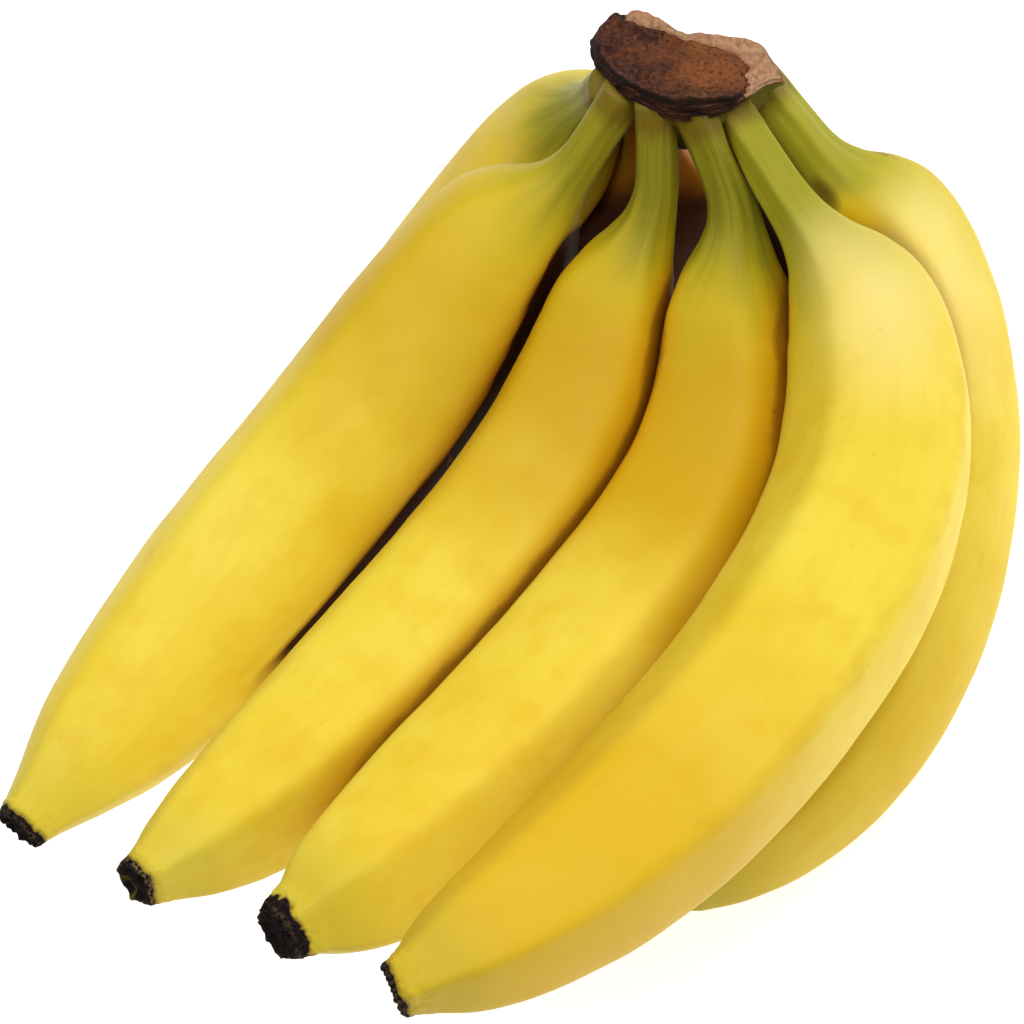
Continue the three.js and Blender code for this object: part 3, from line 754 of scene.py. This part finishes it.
def make_crown():
    n = 220
    line = closed_spline(CUT, n)
    mid = np.array([-1.0, 0.5])
    rings, cut, lip, wrap, plane = [], [], [], [], []
    shares = list(np.linspace(0.02, 0.93, 56)) + [0.955, 0.975, 0.99]
    for k in shares:                                   # the cut face
        uv = mid + (line - mid) * k
        base = np.stack([uv[:, 0], uv[:, 1], np.full(n, 0.0)], 1)
        h = 6.2 + wobble(base, 0.10, 3.0, 3) * 0.7 + wobble(base, 0.45, 8.0, 4) * 0.45
        h = h + 0.3 * smooth(0.86, 0.97, k) - 0.7 * smooth(0.975, 1.0, k)
        # a crack between the cut face and the trimmed facets
        edge = pale_part(uv[:, 0], uv[:, 1])
        h = h - 1.1 * edge * (1 - edge) * 4 - 0.10 * np.clip(uv[:, 0] - 11.0, 0, 6)
        rings.append(crown_point(uv[:, 0], uv[:, 1], h))
        cut.append(np.full(n, 1.0))
        lip.append(smooth(0.94, 0.985, k) * (1 - edge))
        plane.append(np.stack([uv[:, 0], uv[:, 1], np.zeros(n)], 1))
        wrap.append(np.stack([line[:, 0], line[:, 1], np.full(n, 6.0)], 1))
    levels = [5.6, 5.2, 4.8, 4.4, 4.0, 3.6, 3.2, 2.9, 2.6, 2.2, 1.6, 0.8, 0.0, -1.0, -2.2, -3.5, -4.8, -6.5,
              -8.5, -10.5, -12.0]
    heights, widths = zip(*((-12, 0.2), (-9, 0.42), *LEVELS[::-1]))
    for c in levels:
        k = float(np.interp(c, heights, widths))
        uv = mid + (line - mid) * k
        base = np.stack([uv[:, 0], uv[:, 1], np.full(n, c)], 1)
        r = wobble(base * np.array([1, 1, 4.5]), 0.16, 12.0, 4) * 0.55
        r = r + 0.35 * np.sin(c * 4.2 + wobble(base, 0.1, 15.0, 2) * 3.0)
        d = (line - mid) / np.linalg.norm(line - mid, axis=1)[:, None]
        uv = uv + d * r[:, None]
        rings.append(crown_point(uv[:, 0], uv[:, 1], np.full(n, c)))
        edge = pale_part(line[:, 0], line[:, 1]) * smooth(3.6, 5.0, c)
        cut.append(edge)
        lip.append(smooth(4.6, 5.4, c) * 0.9 * (1 - edge))
        plane.append(np.stack([uv[:, 0], uv[:, 1], np.full(n, c)], 1))
        wrap.append(base)
    rows = len(rings)
    verts = np.vstack(rings + [crown_point(*mid, 6.2)[None], crown_point(*mid, -12.4)[None]])
    quads, tris = tube(rows, n, flip=True)
    ob = mesh_object("crown_cut", lay(verts), quads, tris)
    flat = lambda rows_, end: np.concatenate([np.concatenate(rows_), end])
    attribute(ob, "cut", flat(cut, [1, 0]))
    attribute(ob, "lip", flat(lip, [0, 0]))
    pl = np.vstack(plane + [[[*mid, 0], [*mid, -6]]])
    attribute(ob, "plane", pl, "FLOAT_VECTOR")
    attribute(ob, "wrap", np.vstack(wrap + [[[*mid, 6], [*mid, -6]]]), "FLOAT_VECTOR")
    u, v = pl[:, 0], pl[:, 1]
    attribute(ob, "tan", pale_part(u, v))
    attribute(ob, "warm", smooth(-7, 2, u) * smooth(13, 6, u))
    attribute(ob, "old", np.maximum(smooth(-9, -17, u) * 0.75, smooth(-5.5, -11, v) * smooth(13, 8, u) * 0.7))
    high = np.concatenate([np.full(len(shares) * n, 9.0), np.repeat(levels, n), [9.0, -12.4]])
    green = np.maximum(smooth(9, 13, u) * smooth(4.9, 4.0, high), smooth(2.2, 0.5, high) * 0.8)
    attribute(ob, "live", green * smooth(-12, -5, high))
    ob.data.materials.append(crown_material())
    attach(ob, "root")
    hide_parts("crown")
    return ob


make_crown()

# ------------------------------------------------------------------------------------------------
# floor, light and camera
# ------------------------------------------------------------------------------------------------
CORNERS = [(-6, -6, 0), (6, -6, 0), (6, 6, 0), (-6, 6, 0)]
floor = mesh_object("floor", CORNERS, [(0, 1, 2, 3)])
fm = Nodes("floor_paper")
fm.bsdf.inputs["Base Color"].default_value = (0.72, 0.72, 0.72, 1)
fm.bsdf.inputs["Emission Color"].default_value = (1.0, 1.0, 1.0, 1)      # a light table, so the shadow is faint
fm.bsdf.inputs["Emission Strength"].default_value = 0.78
fm.bsdf.inputs["Roughness"].default_value = 0.9
floor.data.materials.append(fm.mat)


def to_world(v):
    """Hanging frame, mm, to the model's frame, metres."""
    return Vector(LAY @ np.array(v, float) + np.array(CROWN_AT)) * 0.001


def lamp(name, at, look, size, power, colour=(1, 1, 1)):
    """A square soft light, placed in the hanging frame."""
    d = bpy.data.lights.new(name, "AREA")
    d.shape = "SQUARE"
    d.size = size
    d.energy = power
    d.color = colour
    o = bpy.data.objects.new(name, d)
    bpy.context.scene.collection.objects.link(o)
    p, q = to_world(at), to_world(look)
    o.matrix_world = Matrix.Translation(p) @ (q - p).to_track_quat("-Z", "Y").to_matrix().to_4x4()
    return o


mid = (-40, -85, -20)
lamp("key", (-200, 300, 860), mid, 0.8, 6.0, (1.0, 0.99, 0.97))
lamp("fill", (-560, 260, 600), mid, 0.8, 1.2, (0.98, 0.985, 1.0))
lamp("edge", (520, 460, 420), mid, 0.6, 2.4, (1.0, 0.99, 0.97))

# a soft sky, brighter on the side the crown points to
world = bpy.data.worlds.new("studio")
bpy.context.scene.world = world
world.use_nodes = True
wt = world.node_tree
sky = wt.nodes["Background"]
sky.inputs[0].default_value = (1.0, 1.0, 1.0, 1.0)
where = wt.nodes.new("ShaderNodeTexCoord")
upward = wt.nodes.new("ShaderNodeVectorMath")
upward.operation = "DOT_PRODUCT"
upward.inputs[1].default_value = tuple(LAY @ np.array([0.1, 0.85, 0.5]))
grade = wt.nodes.new("ShaderNodeMapRange")
grade.inputs["From Min"].default_value = -0.35
grade.inputs["From Max"].default_value = 0.95
grade.inputs["To Min"].default_value = 0.18
grade.inputs["To Max"].default_value = 0.45
wt.links.new(where.outputs["Generated"], upward.inputs[0])
wt.links.new(upward.outputs["Value"], grade.inputs["Value"])
wt.links.new(grade.outputs["Result"], sky.inputs[1])

FAR = 900.0                # from the hand, mm
PIXELS_PER_MM = 5.15       # at that distance
CENTRE = (-34.6, -82.0)    # what the middle of the picture looks at
cam = bpy.data.cameras.new("camera")
cam.sensor_width = 36.0
cam.sensor_fit = "HORIZONTAL"
cam.lens = cam.sensor_width * PIXELS_PER_MM * FAR / 1024.0
cam.clip_start = 0.05
cam.clip_end = 50.0
eye = bpy.data.objects.new("camera", cam)
bpy.context.scene.collection.objects.link(eye)
turn = np.eye(4)
turn[:3, :3] = LAY
turn[:3, 3] = np.array(to_world((*CENTRE, FAR)))
eye.matrix_world = Matrix(turn.tolist())
bpy.context.scene.camera = eye

scene = bpy.context.scene
scene.view_settings.view_transform = "Standard"
scene.view_settings.look = "None"
scene.view_settings.exposure = 0.0
scene.view_settings.gamma = 1.0
